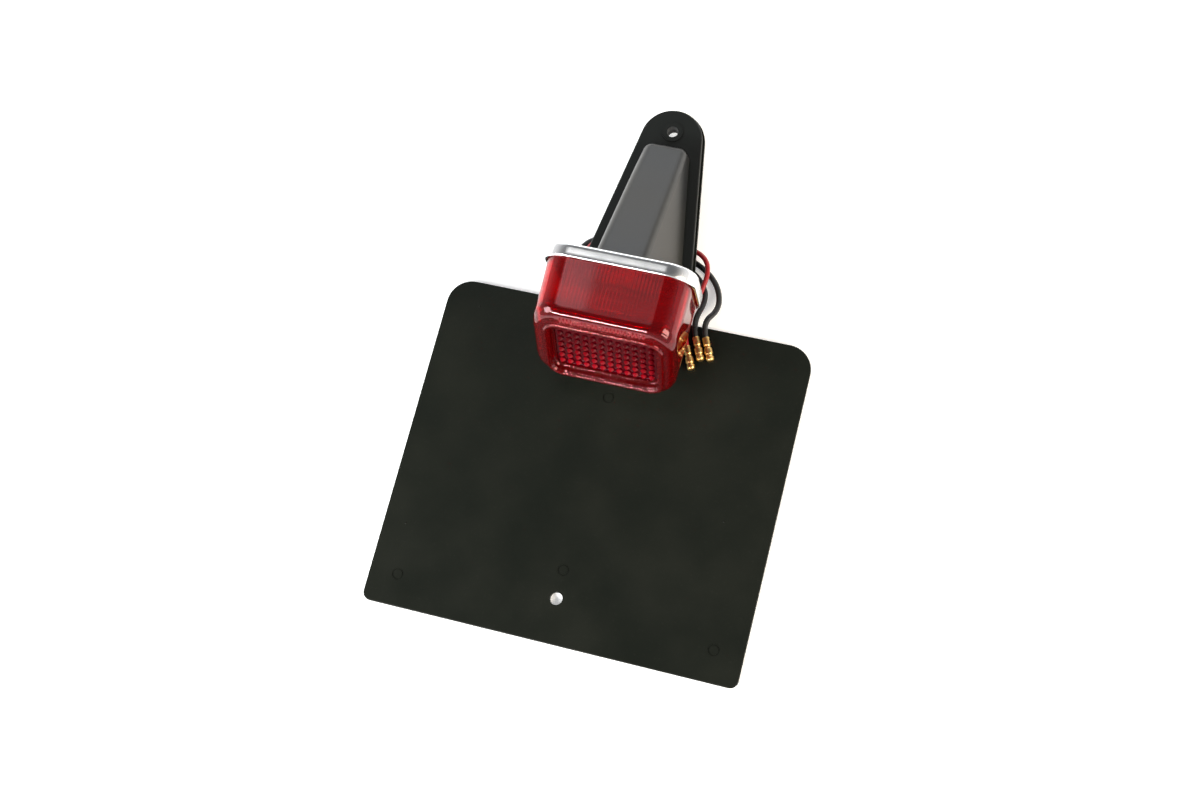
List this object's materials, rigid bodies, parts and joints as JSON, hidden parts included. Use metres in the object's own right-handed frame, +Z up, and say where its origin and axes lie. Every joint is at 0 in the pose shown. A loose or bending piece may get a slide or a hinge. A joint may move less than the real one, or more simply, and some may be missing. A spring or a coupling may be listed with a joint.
{
  "type": "motorcycle tail light",
  "caption": "Motorcycle tail light with a box-shaped red lens, chrome rim and wedge stem, on a flat number plate bracket, with bullet leads.",
  "frame": {"origin": "under the middle of the whole outline, on the bracket's flat underside", "axes": "+Z up from the bracket's underside, +Y along the bracket from the plate to the fixing tab, the lens looks along -Y"},
  "size_m": [0.18, 0.264, 0.0619],
  "materials": {
    "bracket_plastic": "satin",
    "housing_plastic": "satin",
    "rubber": "matt",
    "brass": "bright",
    "screw_steel": "zinc plated",
    "chrome": "polished",
    "red_lens": "gloss",
    "clear_lens": "gloss",
    "reflex_red": "prismatic gloss",
    "bright_sheet": "bright",
    "plated_steel": "plated",
    "brown_insulator": "moulded",
    "bulb_glass": "clear",
    "solder": "satin",
    "wire_black": "satin pvc",
    "wire_red": "satin pvc"
  },
  "bodies": {
    "lamp": {"number_plate_bracket": "bracket_plastic", "base_gasket": "rubber", "lamp_housing": "housing_plastic", "base_inserts": "brass", "bracket_screws": "screw_steel", "chrome_rim": "chrome", "lens_seal": "rubber", "red_lens": "red_lens", "plate_light_window": "clear_lens", "reflex_reflector": "reflex_red", "lens_screws": "screw_steel", "reflector_plate": "bright_sheet", "reflector_screws": "screw_steel", "bulb_socket": "plated_steel", "contact_spring": "plated_steel", "wire_boot": "rubber", "wire_black_outer": "wire_black", "wire_black_inner": "wire_black", "wire_red": "wire_red", "bullet_black_outer": "brass", "bullet_black_inner": "brass", "bullet_red": "brass"},
    "bulb": {"bulb_cap": "brass", "bulb_pins": "brass", "bulb_glass": "bulb_glass", "bulb_filament_mount": "plated_steel", "bulb_contacts": "solder", "contact_carrier": "brown_insulator", "contact_tips": "brass"}
  },
  "joints": [
    {"name": "bulb_push", "type": "slide", "parent": "lamp", "child": "bulb", "axis": [0, 1, 0], "range_m": [0, 0.0025], "stiffness_N_per_m": 2000, "springref_m": -0.002, "deforming": ["contact_spring"]}
  ]
}
